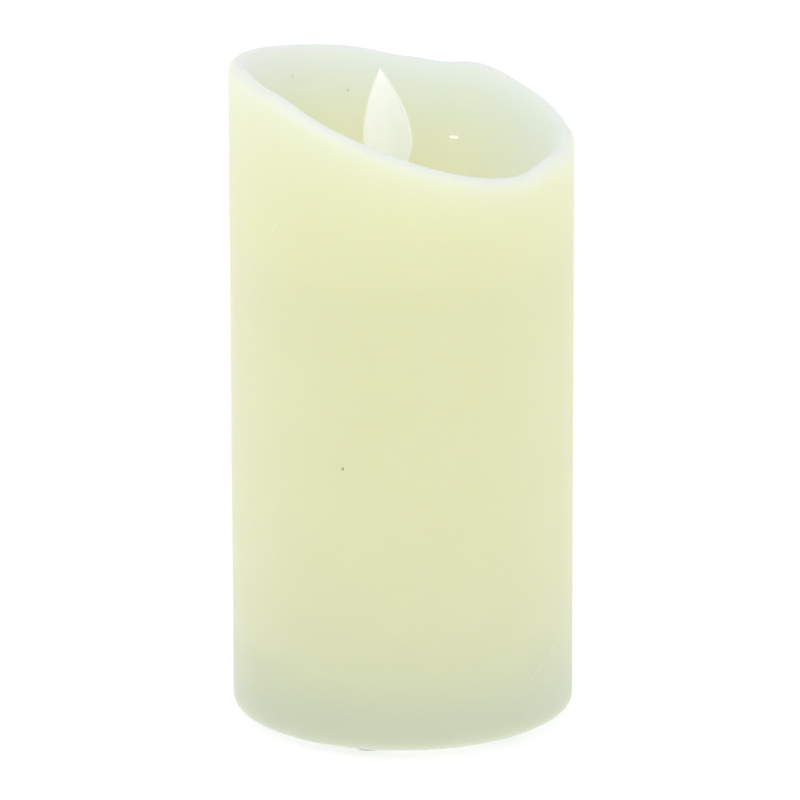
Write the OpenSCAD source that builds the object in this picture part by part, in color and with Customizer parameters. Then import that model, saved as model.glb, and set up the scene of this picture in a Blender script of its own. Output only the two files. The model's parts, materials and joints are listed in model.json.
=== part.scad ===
/* [Candle] */
// Diameter of the wax pillar
candle_d = 78; // [77:1:82]
// Height of the wax bottom edge above the table
wax_bottom = 2.4; // [2:0.1:2.6]
// Thickness of the wax wall beside the core
wax_wall = 5.5; // [5:0.1:6]
// Rounding of the rim's outer side
rim_round = 2.6; // [2:0.1:3]
// Rounding of the bottom edge
edge_round = 1; // [0.5:0.1:1.5]

/* [Rim] */
// Mean height of the rim
rim_mid = 143.7; // [142:0.1:146]
// How far the rim's high side rises over its mean
rim_tilt = 9.5; // [0:0.1:10]
// Direction of the high side
rim_tilt_dir = 149; // [0:1:360]
// Height of the rim's saddle wave
rim_saddle = 2.1; // [0:0.1:3]
// Direction of the saddle's crest
rim_saddle_dir = 23; // [0:1:90]

/* [Pool] */
// Height of the melted pool's floor
pool_z = 116; // [114:0.5:118]
// Steepness of the pool's bowl, 2 for a parabola
bowl_power = 2.4; // [2:0.1:3]
// Softness of the rim's inner side
lip_soft = 3; // [1:0.5:4]
// Radius of the hole around the flame collar
pool_hole_r = 11.3; // [11.2:0.1:12]

/* [Flame] */
// Height of the flame's pivot wire
pivot_z = 104; // [103:0.5:105]
// How far the flame leans at rest, in degrees
flame_lean = 6; // [0:0.5:8]
// Pivot to flame tip
flame_tip = 48.1; // [46:0.1:50]
// Pivot to the flame's widest place
flame_wide_at = 30.9; // [29:0.1:32]
// Half width of the flame
flame_half_w = 5.7; // [5:0.1:6.5]
// Widest place down to the bottom of the teardrop
flame_drop = 7.6; // [6:0.1:9]
// Half width of the flame's neck
neck_half_w = 2; // [1.6:0.1:2.4]
// Thickness of the flame paddle
flame_t = 1.8; // [1.4:0.1:2.2]
// Pivot down to the top of the magnet
magnet_drop = 18.5; // [17:0.1:19]
// Sideways set of the magnet that balances the leaning flame
magnet_set = -1.1; // [-2:0.05:2]

/* [Core] */
// Wall of the inner barrel
barrel_wall = 1.4; // [1.2:0.1:1.6]
// Height at which the barrel stands on the base
barrel_bottom = 24.3; // [24.2:0.1:25]
// Thickness of the barrel's top plate
barrel_plate = 2; // [1.6:0.1:2.4]
// Underside of the base housing above the table
base_bottom = 2.9; // [2.7:0.1:3.1]
// Thickness of the base floor
base_floor = 2; // [1.8:0.1:2.2]
// Radius of a foot
foot_r = 3.5; // [3:0.1:3.5]
// Half distance between the feet from side to side
foot_x = 14.9; // [14:0.1:16]
// Half distance between the feet from front to back
foot_y = 25.8; // [25:0.1:27]

/* [Batteries] */
// Diameter of an AA cell
cell_d = 14.5; // [14:0.1:14.5]
// Length of an AA cell with its nub
cell_len = 50.5; // [49.5:0.1:50.5]
// Distance of each cell's axis from the middle
cell_side = 7.4; // [7.3:0.05:7.4]
// Height of the cells' axes
cell_z = 12.6; // [12.5:0.05:12.7]

/* [Switch] */
// Travel of the slide switch each way
switch_travel = 2.5; // [2:0.1:2.5]
// Distance of the switch from the middle
switch_y = -24.5; // [-25:0.1:-24]

/* [Hidden] */
$fn = 64;
eps = 0.01;

// Wax
wax_r = candle_d / 2;
cavity_r = wax_r - wax_wall;
core_r = cavity_r - 0.3;
// Lumps in the rim: direction, height and half width in degrees
rim_lumps = [
    [-40, 2, 14], [-16, 1.5, 10], [44, 1, 12], [60, -1, 9], [76, -1.2, 12], [182, 0.7, 12], [208, 1, 12]
];
around = 72;
bowl_steps = 13;
arc_steps = 5;
edge_steps = 3;

// Barrel and the flame collar in its top plate
barrel_in = core_r - barrel_wall;
plate_z = 107.5;
barrel_top = plate_z + barrel_plate;
cavity_top = barrel_top + 0.3;
collar_r = 11;
collar_top = pool_z - 0.6;
slot_half = 6;
slot_w = 4.6;
boss_top = 38;
boss_bottom = 28.5;
boss_r = 3.4;
hang_at = [18.5, 3];
hang_boss_r = 2.8;
hang_boss_z = 99.5;
screw_r = 1.25;
screw_fit = 0.02;

// Base housing
base_top = 24;
base_wall_in = core_r - 1.4;
floor_top = base_bottom + base_floor;
spigot_top = 28;
bay_half = [27.9, 15.1];
bay_wall = 1.3;
bay_top = 20.2;
bay_round = 3;
base_screw_at = 20.2;
counterbore_r = 2.8;
counterbore_z = 22;
head_r = 2.5;
head_h = 1.8;

// Battery door and its hinge
door_half = [28.7, 15.8];
door_t = 1.8;
door_round = 4;
hinge_x = 27.6;
recess_edge = hinge_x - 1;
door_hinge_edge = hinge_x - 1.75;
hinge_z = 4.2;
knuckle_r = 1;
knuckle_half = 11.4;
hinge_pin_r = 0.7;
hinge_pin_half = 13.2;
hinge_fit = 0.05;
ear_top = 6.2;
ear_y = 13.05;
ear_half = 1.3;
gap = 0.3;
latch_half_w = 4;
latch_x = -28.1;

// Feet
foot_top = 3.2;
foot_round = 0.6;

// Switch
slider_z = 6.4;
knob_bottom = 1.9;
slider_h = 1.6;
switch_bottom = 5.2;
switch_top = 9.8;
switch_half = [switch_travel + 3.2, 2.7];
knob_half = [1.5, 1.1];
slider_half = [2, 1.6];
switch_slot = knob_half[0] + switch_travel + 0.6;

// Control board
pcb_z = 9.9;
pcb_t = 1.2;
pcb_top = pcb_z + pcb_t;
pcb_half = 15.6;
pcb_r = 31.2;
pcb_edge = -17.4;
pcb_screw_at = [12.9, -20.6];

// Battery contacts
plate_t = 0.4;
plate_x = 27.2;
contact_x = 26.7;
nub_r = 2.6;
nub_h = 1;
spring_wire_r = 0.35;
spring_turns = 3.5;
spring_wide = 5;
spring_narrow = 2.6;

// Flame module
case_top = plate_z;
case_bottom = 69;
case_half = 15;
case_front = -11;
case_back = 16;
case_wall = 1.5;
wire_r = 0.5;
wire_fit = 0.06;
hub_r = 2.2;
hub_half = 2;
wire_boss_r = 1.8;
wire_web_half = 1.2;
wire_gap = 0.3;
hanger_back = 4.3;
case_screw_x = 11.3;
case_screw_z = [75, 100];
case_screw_r = 1;
case_boss_r = 2.1;
coil_bottom = case_bottom + case_wall;
coil_top = 79;
bobbin_r = 8.5;
bobbin_core = 3.2;
bobbin_bore = 2.1;
bobbin_flange = 0.9;
post_r = 2;
magnet_r = 3.5;
magnet_h = 4;
cup_wall = 0.8;
stem_half = 1.8;

// LED, tilted so that it shines at the flame
led_y = 8.4;
led_tilt = 12;
led_r = 2.5;
led_port_r = 2.7;
led_rim_r = 2.9;
sleeve_r = 3.6;
lead_exit_y = 11.2;

// Leads
lead_r = 0.6;
lead_sides = 8;
battery_lead_r = 0.65;
red_battery_route = [[27.9, -7.4, 23.5], [24.5, -8, 25], [19, -12, 25], [13, -17.5, 22], [9, -19.5, 16],
    [8.5, -19.5, 11.3]];
black_battery_route = [[27.9, 7.4, 23.5], [24, 6, 26], [17, 0, 27], [8, -12, 25.5], [4, -18.4, 20],
    [4, -19.5, 11.3]];
led_red_route = [[1.3, 9.9, 101.8], [1.3, 11, 96], [1.3, 11.2, 68], [1.6, 9.5, 55], [2, 2, 43], [1, -12, 34],
    [-1.6, -19.6, 25], [-1.8, -21.5, 17], [-1.8, -21.5, 11.3]];
led_black_route = [[-1.3, 9.9, 101.8], [-1.3, 11, 96], [-1.3, 11.2, 68], [-1.6, 9, 54], [-2, 1, 42],
    [-3.4, -12, 33], [-4.6, -19.6, 25], [-4.1, -21.5, 17], [-4.1, -21.5, 11.3]];
coil_yellow_route = [[5.4, 6.5, 76.5], [6, 10, 75.5], [6, 11.2, 72], [6, 11.2, 66], [6.4, 10, 52], [7, 0, 40],
    [5.6, -13, 31], [1.4, -19.6, 25], [0.5, -21.5, 17], [0.5, -21.5, 11.3]];
coil_white_route = [[-5.4, 6.5, 76.5], [-6, 10, 75.5], [-6, 11.2, 72], [-6, 11.2, 66], [-7, 9, 50],
    [-8, -1, 38], [-9, -14, 30], [-8, -19.6, 24], [-6.4, -21.5, 17], [-6.4, -21.5, 11.3]];

// Height of the rim's crest in direction a
function lump(a, l) =
    let(off = (a - l[0] + 540) % 360 - 180)
    l[1] * exp(-pow(off / l[2], 2));
function lumps(a, i = 0) = i == len(rim_lumps) ? 0 : lump(a, rim_lumps[i]) + lumps(a, i + 1);
function rim_z(a) =
    rim_mid + rim_tilt * cos(a - rim_tilt_dir) + rim_saddle * cos(2 * (a - rim_saddle_dir)) + lumps(a);

// The wax's cross-section in direction a, as [radius, height], from the pool over the rim and back inside
function bowl_fall(a, x, run) =
    (rim_z(a) - pool_z) * (1 - pow(1 - x / run, bowl_power)) * x * (run + lip_soft) / (x + lip_soft) / run;
function bowl_point(a, t) =
    let(run = wax_r - rim_round - pool_hole_r)
    let(x = run * (1 - t) * (1 - t))
    [wax_r - rim_round - x, rim_z(a) - bowl_fall(a, x, run)];
function rim_point(a, turn) = [
    wax_r - rim_round + rim_round * sin(turn),
    rim_z(a) - rim_round + rim_round * cos(turn)
];
function edge_point(turn) = [
    wax_r - edge_round + edge_round * cos(turn),
    wax_bottom + edge_round - edge_round * sin(turn)
];
function wax_section(a) = concat(
    [for (i = [0:bowl_steps]) bowl_point(a, i / bowl_steps)],
    [for (i = [1:arc_steps]) rim_point(a, 90 * i / arc_steps)],
    [for (i = [0:edge_steps]) edge_point(90 * i / edge_steps)],
    [[cavity_r, wax_bottom], [cavity_r, cavity_top], [pool_hole_r, cavity_top]]
);

// A closed section carried round the Z axis
module carried_round(sections) {
    n = len(sections);
    m = len(sections[0]);
    points = [
        for (j = [0:n - 1])
            for (p = sections[j])
                [p[0] * cos(360 * j / n), p[0] * sin(360 * j / n), p[1]]
    ];
    faces = [
        for (j = [0:n - 1])
            for (i = [0:m - 1])
                let(j2 = (j + 1) % n, i2 = (i + 1) % m)
                each [
                    [j * m + i, j2 * m + i2, j * m + i2],
                    [j * m + i, j2 * m + i, j2 * m + i2]
                ]
    ];
    polyhedron(points = points, faces = faces, convexity = 10);
}

// A round tube swept along a path
function unit(v) = v / norm(v);
function tangent(p, i) = unit(p[min(i + 1, len(p) - 1)] - p[max(i - 1, 0)]);
function sides_along(p, v, i = 0) =
    i == len(p) ? [] :
    let(t = tangent(p, i))
    let(s = unit(v - (v * t) * t))
    concat([s], sides_along(p, s, i + 1));
function curve_point(a, b, c, d, t) =
    0.5 * (2 * b + (c - a) * t + (2 * a - 5 * b + 4 * c - d) * t * t + (3 * b - a - 3 * c + d) * t * t * t);
function smooth(p, steps) = concat(
    [
        for (i = [0:len(p) - 2])
            for (k = [0:steps - 1])
                curve_point(p[max(i - 1, 0)], p[i], p[i + 1], p[min(i + 2, len(p) - 1)], k / steps)
    ],
    [p[len(p) - 1]]
);
module tube(path, r, sides, start_side = [1, 0.2, 0.1]) {
    side = sides_along(path, start_side);
    last = len(path) - 1;
    points = [
        for (i = [0:last])
            let(s = side[i], u = cross(tangent(path, i), side[i]))
            for (k = [0:sides - 1])
                path[i] + r * (cos(360 * k / sides) * s + sin(360 * k / sides) * u)
    ];
    faces = concat(
        [[for (k = [0:sides - 1]) k]],
        [[for (k = [0:sides - 1]) last * sides + sides - 1 - k]],
        [
            for (i = [0:last - 1])
                for (k = [0:sides - 1])
                    let(k2 = (k + 1) % sides)
                    each [
                        [i * sides + k, (i + 1) * sides + k, (i + 1) * sides + k2],
                        [i * sides + k, (i + 1) * sides + k2, i * sides + k2]
                    ]
        ]
    );
    polyhedron(points = points, faces = faces, convexity = 10);
}
module lead(route, r = lead_r, start_side = [1, 0.2, 0.1]) {
    tube(smooth(route, 3), r, lead_sides, start_side);
}

// Outline of a rectangle with round corners
function round_rect(hx, hy, r, steps = 6) = [
    for (c = [[1, 1, 0], [-1, 1, 90], [-1, -1, 180], [1, -1, 270]])
        for (i = [0:steps])
            let(a = c[2] + 90 * i / steps)
            [c[0] * (hx - r) + r * cos(a), c[1] * (hy - r) + r * sin(a)]
];
module slab(hx, hy, r, z0, z1) {
    translate([0, 0, z0]) linear_extrude(z1 - z0) polygon(round_rect(hx, hy, r));
}
module block(x0, x1, y0, y1, z0, z1) {
    translate([x0, y0, z0]) cube([x1 - x0, y1 - y0, z1 - z0]);
}
module post(x, y, r, z0, z1) {
    translate([x, y, z0]) cylinder(r = r, h = z1 - z0);
}
module rod_y(x, z, r, y0, y1) {
    translate([x, y0, z]) rotate([-90, 0, 0]) cylinder(r = r, h = y1 - y0);
}
module slot_z(half, w, z0, z1) {
    block(-half + w / 2, half - w / 2, -w / 2, w / 2, z0, z1);
    for (side = [-1, 1]) post(side * (half - w / 2), 0, w / 2, z0, z1);
}
module corners(x, y) {
    for (sx = [-1, 1])
        for (sy = [-1, 1])
            translate([sx * x, sy * y, 0]) children();
}
// A place on the tilted LED axis: z runs along the LED, 0 at the top plate's underside
module on_led_axis() {
    translate([0, led_y, plate_z]) rotate([led_tilt, 0, 0]) children();
}

module wax_shell() {
    color("#E6E8C2") carried_round([for (j = [0:around - 1]) wax_section(360 * j / around)]);
}

module barrel_bosses() {
    corners(base_screw_at, base_screw_at) post(0, 0, boss_r, boss_bottom, boss_top);
    for (side = [-1, 1]) post(side * hang_at[0], hang_at[1], hang_boss_r, hang_boss_z, plate_z + eps);
}
module inner_barrel() {
    color("#F2F1E6") difference() {
        union() {
            difference() {
                post(0, 0, core_r, barrel_bottom, barrel_top);
                post(0, 0, barrel_in, barrel_bottom - 1, plate_z);
            }
            intersection() {
                barrel_bosses();
                post(0, 0, core_r - 0.5, barrel_bottom, barrel_top);
            }
            post(0, 0, collar_r, plate_z, collar_top);
        }
        slot_z(slot_half, slot_w, plate_z - 1, collar_top + 1);
        on_led_axis() translate([0, 0, -2]) cylinder(r = led_port_r, h = 14);
        corners(base_screw_at, base_screw_at) post(0, 0, screw_r + screw_fit, boss_bottom - 1, boss_top - 1);
        for (side = [-1, 1])
            post(side * hang_at[0], hang_at[1], screw_r + screw_fit, hang_boss_z - 1, plate_z - 1);
    }
}

module hinge_ears() {
    for (side = [-1, 1])
        block(recess_edge + 0.1, base_wall_in - 2, side * ear_y - ear_half, side * ear_y + ear_half,
            floor_top - 0.5, ear_top);
}
module base_shell() {
    difference() {
        post(0, 0, core_r, base_bottom, base_top);
        post(0, 0, base_wall_in, floor_top, base_top + 1);
    }
    difference() {
        post(0, 0, base_wall_in + 0.5, base_top - 4, base_top);
        post(0, 0, base_wall_in - 1.2, base_top - 5, base_top + 1);
    }
    difference() {
        post(0, 0, base_wall_in - 0.2, base_top - 4, spigot_top);
        post(0, 0, base_wall_in - 1.2, base_top - 5, spigot_top + 1);
    }
    intersection() {
        slab(bay_half[0] + bay_wall, bay_half[1] + bay_wall, bay_round, base_bottom, bay_top + bay_wall);
        post(0, 0, core_r - 0.3, base_bottom, base_top);
    }
    intersection() {
        corners(base_screw_at, base_screw_at)
            post(0, 0, counterbore_r + 1.1, base_bottom, boss_bottom - gap);
        post(0, 0, base_wall_in - 0.2, base_bottom, spigot_top + 1);
    }
    for (side = [-1, 1])
        post(side * pcb_screw_at[0], pcb_screw_at[1], 2.2, base_bottom, pcb_z);
}
module bay_hollow() {
    difference() {
        slab(bay_half[0], bay_half[1], bay_round, base_bottom - 1, bay_top);
        hinge_ears();
        block(recess_edge, 40, -20, 20, 0, floor_top);
        block(-40, -door_half[0] + 1.2, -20, 20, 0, floor_top);
        for (side = [-1, 1])
            block(-40, 40, side * 15.2 - 0.3, side * 15.2 + 0.3, 0, floor_top);
    }
}
module door_recess() {
    intersection() {
        slab(door_half[0] + gap, door_half[1] + gap, door_round, base_bottom - 1, base_bottom + door_t + 0.2);
        block(-40, recess_edge, -20, 20, 0, 10);
    }
    block(hinge_x - 2, 29.4, -knuckle_half - gap, knuckle_half + gap, base_bottom - 1, ear_top);
    block(latch_x - 0.9, latch_x + 2.2, -latch_half_w - gap, latch_half_w + gap, base_bottom, 12);
}
module base_housing() {
    color("#F4F3EE") difference() {
        base_shell();
        bay_hollow();
        door_recess();
        rod_y(hinge_x, hinge_z, hinge_pin_r + hinge_fit, -hinge_pin_half - 0.2, hinge_pin_half + 0.2);
        corners(foot_x, foot_y) post(0, 0, foot_r + 0.1, base_bottom - 1, foot_top);
        corners(base_screw_at, base_screw_at) {
            post(0, 0, counterbore_r, base_bottom - 1, counterbore_z);
            post(0, 0, screw_r + 0.2, counterbore_z - 1, boss_bottom);
        }
        block(-switch_slot, switch_slot, switch_y - 1.5, switch_y + 1.5, base_bottom - 1, floor_top + 1);
        translate([0, switch_y, 0]) slab(7, 3.4, 1.5, base_bottom - 1, base_bottom + 0.7);
        for (side = [-1, 1])
            post(side * pcb_screw_at[0], pcb_screw_at[1], screw_r + screw_fit, floor_top, pcb_z + 1);
        // Slots in the bay's roof for the solder tabs
        for (side = [-1, 1])
            block(plate_x - 0.1, plate_x + plate_t + 0.2, side * cell_side - 1.7, side * cell_side + 1.7,
                bay_top - 1, bay_top + 3);
    }
}

module battery_door() {
    top = base_bottom + door_t;
    color("#F1F0EA") difference() {
        union() {
            intersection() {
                slab(door_half[0], door_half[1], door_round, base_bottom, top);
                block(-40, door_hinge_edge, -20, 20, 0, 10);
            }
            block(door_hinge_edge - 1, hinge_x, -knuckle_half, knuckle_half, hinge_z - 1, hinge_z + 0.5);
            rod_y(hinge_x, hinge_z, knuckle_r, -knuckle_half, knuckle_half);
            rod_y(hinge_x, hinge_z, hinge_pin_r, -hinge_pin_half, hinge_pin_half);
            // Latch tongue, and two ribs that keep the cells up
            block(latch_x - 0.6, latch_x + 0.6, -latch_half_w, latch_half_w, top - 0.5, 9);
            for (x = [-14, 14]) block(x - 0.6, x + 0.6, -12, 12, top - 0.5, top + 0.4);
        }
        // Finger dip in front of the latch
        translate([-22.5, 0, base_bottom - 2.2]) sphere(r = 3);
    }
}

module foot() {
    rotate_extrude() polygon(concat(
        [[0, 0]],
        [for (i = [0:4]) [
            foot_r - foot_round + foot_round * sin(22.5 * i),
            foot_round - foot_round * cos(22.5 * i)
        ]],
        [[foot_r, foot_top], [0, foot_top]]
    ));
}
module foot_1() { color("#DADCD6") translate([-foot_x, -foot_y, 0]) foot(); }
module foot_2() { color("#DADCD6") translate([foot_x, -foot_y, 0]) foot(); }
module foot_3() { color("#DADCD6") translate([foot_x, foot_y, 0]) foot(); }
module foot_4() { color("#DADCD6") translate([-foot_x, foot_y, 0]) foot(); }

// A pan-head screw that points up, with its head's underside at z = 0 and a cross recess
module screw(r, length, head, head_height) {
    difference() {
        union() {
            translate([0, 0, -0.4]) cylinder(r = r, h = length + 0.4);
            translate([0, 0, -head_height]) cylinder(r = head, h = head_height);
        }
        for (turn = [0, 90])
            rotate(turn) block(-head * 0.6, head * 0.6, -0.3, 0.3, -head_height - 1, -head_height * 0.4);
    }
}
module base_screws() {
    color("silver") corners(base_screw_at, base_screw_at)
        translate([0, 0, counterbore_z]) screw(screw_r, 14, head_r, head_h);
}

module switch_knob() {
    color("#26272A") union() {
        translate([0, switch_y, 0]) slab(slider_half[0], slider_half[1], 0.3, slider_z, slider_z + slider_h);
        translate([0, switch_y, 0]) slab(knob_half[0], knob_half[1], 0.2, knob_bottom, slider_z + 0.5);
    }
}
module switch_body() {
    color("silver") translate([0, switch_y, 0]) difference() {
        block(-switch_half[0], switch_half[0], -switch_half[1], switch_half[1], switch_bottom, switch_top);
        inner = slider_half[0] + switch_travel + gap;
        slot = knob_half[0] + switch_travel + gap;
        block(-inner, inner, -slider_half[1] - gap, slider_half[1] + gap,
            switch_bottom + 0.9, switch_top - 1);
        block(-slot, slot, -knob_half[1] - gap, knob_half[1] + gap, switch_bottom - 1, switch_top - 1.2);
    }
}
module switch_pins() {
    color("goldenrod") for (x = [-3, -1, 1, 3])
        block(x - 0.25, x + 0.25, switch_y - 0.15, switch_y + 0.15, switch_top, pcb_top + 0.6);
}

module control_pcb() {
    color("#1F6B3A") difference() {
        intersection() {
            post(0, 0, pcb_r, pcb_z, pcb_top);
            block(-pcb_half, pcb_half, -40, pcb_edge, 0, 20);
        }
        for (side = [-1, 1]) post(side * pcb_screw_at[0], pcb_screw_at[1], screw_r + 0.2, 0, 20);
        for (x = [-3, -1, 1, 3]) block(x - 0.3, x + 0.3, switch_y - 0.2, switch_y + 0.2, 0, 20);
    }
}
module control_chip() {
    color("#1B1B1D") union() {
        block(-8.5, -3.5, -29.2, -25.9, pcb_top + 0.2, pcb_top + 1.7);
        for (i = [0:3])
            for (side = [-1, 1])
                block(-7.9 + 1.27 * i - 0.2, -7.9 + 1.27 * i + 0.2, -27.55 + side * 2 - 0.45,
                    -27.55 + side * 2 + 0.45, pcb_top, pcb_top + 0.9);
    }
}
module pcb_capacitor() {
    color("#20335C") translate([7, -26.8, pcb_top]) {
        cylinder(r = 2.5, h = 7.5);
        translate([0, 0, 7.5 - eps]) cylinder(r = 2.2, h = 0.3);
    }
}
// Chip resistors, and the timer's crystal can
module pcb_parts() {
    color("#2B2B2E") {
        for (x = [-2.4, -0.4, 1.6, 3.6]) block(x - 0.6, x + 0.6, -28.6, -26.6, pcb_top, pcb_top + 0.55);
        translate([-1, -30, pcb_top + 1]) rotate([0, 90, 0]) cylinder(r = 0.75, h = 4.5);
    }
}
module pcb_screws() {
    color("silver") for (side = [-1, 1])
        translate([side * pcb_screw_at[0], pcb_screw_at[1], pcb_top]) mirror([0, 0, 1])
            screw(screw_r, 5, 2.1, 1.3);
}

// A cell with its nub towards +X, its nub's tip at contact_x
module cell() {
    translate([contact_x, 0, cell_z]) rotate([0, -90, 0]) rotate_extrude() polygon([
        [0, 0], [nub_r - 0.2, 0], [nub_r, 0.3], [nub_r, nub_h], [cell_d / 2 - 0.6, nub_h],
        [cell_d / 2, nub_h + 0.6], [cell_d / 2, cell_len - 0.5], [cell_d / 2 - 0.5, cell_len], [0, cell_len]
    ]);
}
module battery_cell_1() { color("#3C4A56") translate([0, -cell_side, 0]) cell(); }
module battery_cell_2() { color("#3C4A56") rotate(180) translate([0, -cell_side, 0]) cell(); }

// A contact plate at the +X end; its dimple meets a cell's nub
module contact_plate(half, z0, z1) {
    block(plate_x, plate_x + plate_t, -half, half, z0, z1);
}
module dimple() {
    translate([contact_x, 0, cell_z]) rotate([0, 90, 0]) cylinder(r = 1.8, h = plate_x - contact_x + eps);
}
module end_plate() {
    contact_plate(5, 7.2, 19.8);
    contact_plate(1.5, 19.5, 23);
}
module positive_plate() {
    color("#C9CBC8") translate([0, -cell_side, 0]) {
        end_plate();
        dimple();
    }
}
module negative_plate() {
    color("#C9CBC8") translate([0, cell_side, 0]) end_plate();
}
module bridge_plate() {
    color("#C9CBC8") rotate(180) {
        contact_plate(12.4, 12.2, 19.4);
        for (side = [-1, 1]) translate([0, side * cell_side, 0]) contact_plate(3.5, 9.8, 14);
        translate([0, -cell_side, 0]) dimple();
    }
}
// A conical spring from the plate to the cell's flat end
module cone_spring() {
    free = 0.05;
    x0 = plate_x - spring_wire_r - free;
    x1 = cell_len - contact_x + spring_wire_r + free;
    steps = 36;
    path = [
        for (i = [0:steps])
            let(t = i / steps, a = 360 * spring_turns * t)
            let(r = spring_wide + (spring_narrow - spring_wide) * t)
            [x0 + (x1 - x0) * t, r * cos(a), cell_z + r * sin(a)]
    ];
    tube(path, spring_wire_r, 6);
}
module negative_spring() { color("silver") translate([0, cell_side, 0]) cone_spring(); }
module bridge_spring() { color("silver") rotate(180) translate([0, cell_side, 0]) cone_spring(); }

// The flame's half width at a distance above the pivot
function blade_half(s) =
    s > flame_wide_at
        ? flame_half_w * (1 - pow(min(1, (s - flame_wide_at) / (flame_tip - flame_wide_at)), 1.8))
        : s > flame_wide_at - flame_drop
            ? flame_half_w * sqrt(1 - pow((flame_wide_at - s) / flame_drop, 2))
            : 0;
function flame_half(s) = max(blade_half(s), s < flame_wide_at ? neck_half_w : 0.01);
module flame_outline() {
    steps = 44;
    rise = [for (i = [0:steps]) flame_tip * i / steps];
    polygon(concat(
        [for (s = rise) [flame_half(s), s]],
        [for (i = [steps:-1:0]) [-flame_half(rise[i]), rise[i]]]
    ));
}
module at_flame() {
    translate([0, 0, pivot_z]) rotate([0, -flame_lean, 0]) children();
}
module flame() {
    cup_r = magnet_r + cup_wall;
    color("#EEF0E0") at_flame() difference() {
        union() {
            translate([0, flame_t / 2, 0]) rotate([90, 0, 0]) linear_extrude(flame_t) flame_outline();
            block(-stem_half, stem_half, -flame_t / 2, flame_t / 2, -magnet_drop, 0.5);
            rod_y(0, 0, hub_r, -hub_half, hub_half);
            post(magnet_set, 0, cup_r, -magnet_drop - magnet_h, -magnet_drop + cup_wall);
        }
        rod_y(0, 0, wire_r + wire_fit, -hub_half - 1, hub_half + 1);
        post(magnet_set, 0, magnet_r + 0.02, -magnet_drop - magnet_h - 1, -magnet_drop);
    }
}
module flame_magnet() {
    color("#B8BCC0") at_flame() post(magnet_set, 0, magnet_r, -magnet_drop - magnet_h, -magnet_drop);
}
module pivot_wire() {
    color("silver") rod_y(0, pivot_z, wire_r, case_front + 0.8, hanger_back);
}

// One half of the module's case; y0 is the joint face, y1 the outer face
module case_half_shell(y0, y1) {
    low = min(y0, y1);
    high = max(y0, y1);
    hollow_low = y1 < y0 ? y1 + case_wall : y0 - 1;
    hollow_high = y1 < y0 ? y0 + 1 : y1 - case_wall;
    difference() {
        block(-case_half, case_half, low, high, case_bottom, case_top);
        block(-case_half + case_wall, case_half - case_wall, hollow_low, hollow_high,
            case_bottom + case_wall, case_top - case_wall);
    }
}
// The arm that holds one end of the pivot wire, with its web up to the case's top
module wire_arm(y0, y1) {
    rod_y(0, pivot_z, wire_boss_r, y0, y1);
    block(-wire_web_half, wire_web_half, y0, y1, pivot_z + 0.5, case_top - 0.3);
}
module case_front_body() {
    case_half_shell(0, case_front);
    wire_arm(case_front + 1, -hub_half - wire_gap);
    for (side = [-1, 1])
        for (z = case_screw_z) rod_y(side * case_screw_x, z, case_boss_r, case_front + 1, 0);
}
module module_case_front() {
    color("#2E2F33") difference() {
        case_front_body();
        slot_z(slot_half, slot_w, case_top - 3, case_top + 1);
        rod_y(0, pivot_z, wire_r + 0.02, case_front + 0.8, 1);
        for (side = [-1, 1])
            for (z = case_screw_z) {
                rod_y(side * case_screw_x, z, case_screw_r + 0.2, case_front - 1, 1);
                rod_y(side * case_screw_x, z, 2, case_front - 1, case_front + 1);
            }
    }
}
module case_back_body() {
    case_half_shell(0, case_back);
    wire_arm(hub_half + wire_gap, hanger_back);
    for (side = [-1, 1]) {
        for (z = case_screw_z) rod_y(side * case_screw_x, z, case_boss_r, 0, case_back - 1);
        block(side > 0 ? case_half - 1 : -hang_at[0] - 3, side > 0 ? hang_at[0] + 3 : -case_half + 1,
            0, 6.5, hang_boss_z - 2, hang_boss_z);
    }
}
module module_case_back() {
    color("#2E2F33") union() {
        difference() {
            case_back_body();
            slot_z(slot_half, slot_w, case_top - 3, case_top + 1);
            rod_y(0, pivot_z, wire_r + 0.02, -1, hanger_back + 1);
            on_led_axis() translate([0, 0, -9]) cylinder(r = sleeve_r + 0.1, h = 13);
            for (side = [-1, 1]) {
                for (z = case_screw_z)
                    rod_y(side * case_screw_x, z, case_screw_r + screw_fit, -1, 8.4);
                post(side * hang_at[0], hang_at[1], screw_r + 0.2, hang_boss_z - 4, hang_boss_z + 1);
            }
            block(-7.2, 7.2, lead_exit_y - 1, lead_exit_y + 1, case_bottom - 1, case_bottom + case_wall + 1);
        }
        post(0, 0, post_r, coil_bottom, coil_top - 1.5);
        block(-1.2, 1.2, 0.2, 1.4, case_bottom + 0.5, coil_bottom + 2);
    }
}
module case_screws() {
    color("silver") for (side = [-1, 1])
        for (z = case_screw_z)
            translate([side * case_screw_x, case_front + 1, z]) rotate([-90, 0, 0])
                screw(case_screw_r, 18, 1.9, 1);
}
module module_screws() {
    color("silver") for (side = [-1, 1])
        translate([side * hang_at[0], hang_at[1], hang_boss_z - 2]) screw(screw_r, 8, 2.2, 1.5);
}

module coil_bobbin() {
    color("#E9E6DA") difference() {
        union() {
            post(0, 0, bobbin_core, coil_bottom, coil_top);
            post(0, 0, bobbin_r, coil_bottom, coil_bottom + bobbin_flange);
            post(0, 0, bobbin_r, coil_top - bobbin_flange, coil_top);
        }
        post(0, 0, bobbin_bore, coil_bottom - 1, coil_top + 1);
    }
}
module coil_winding() {
    color("#B8692E") difference() {
        post(0, 0, bobbin_r - 0.8, coil_bottom + bobbin_flange + 0.05, coil_top - bobbin_flange - 0.05);
        post(0, 0, bobbin_core + 0.05, coil_bottom, coil_top);
    }
}

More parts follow.
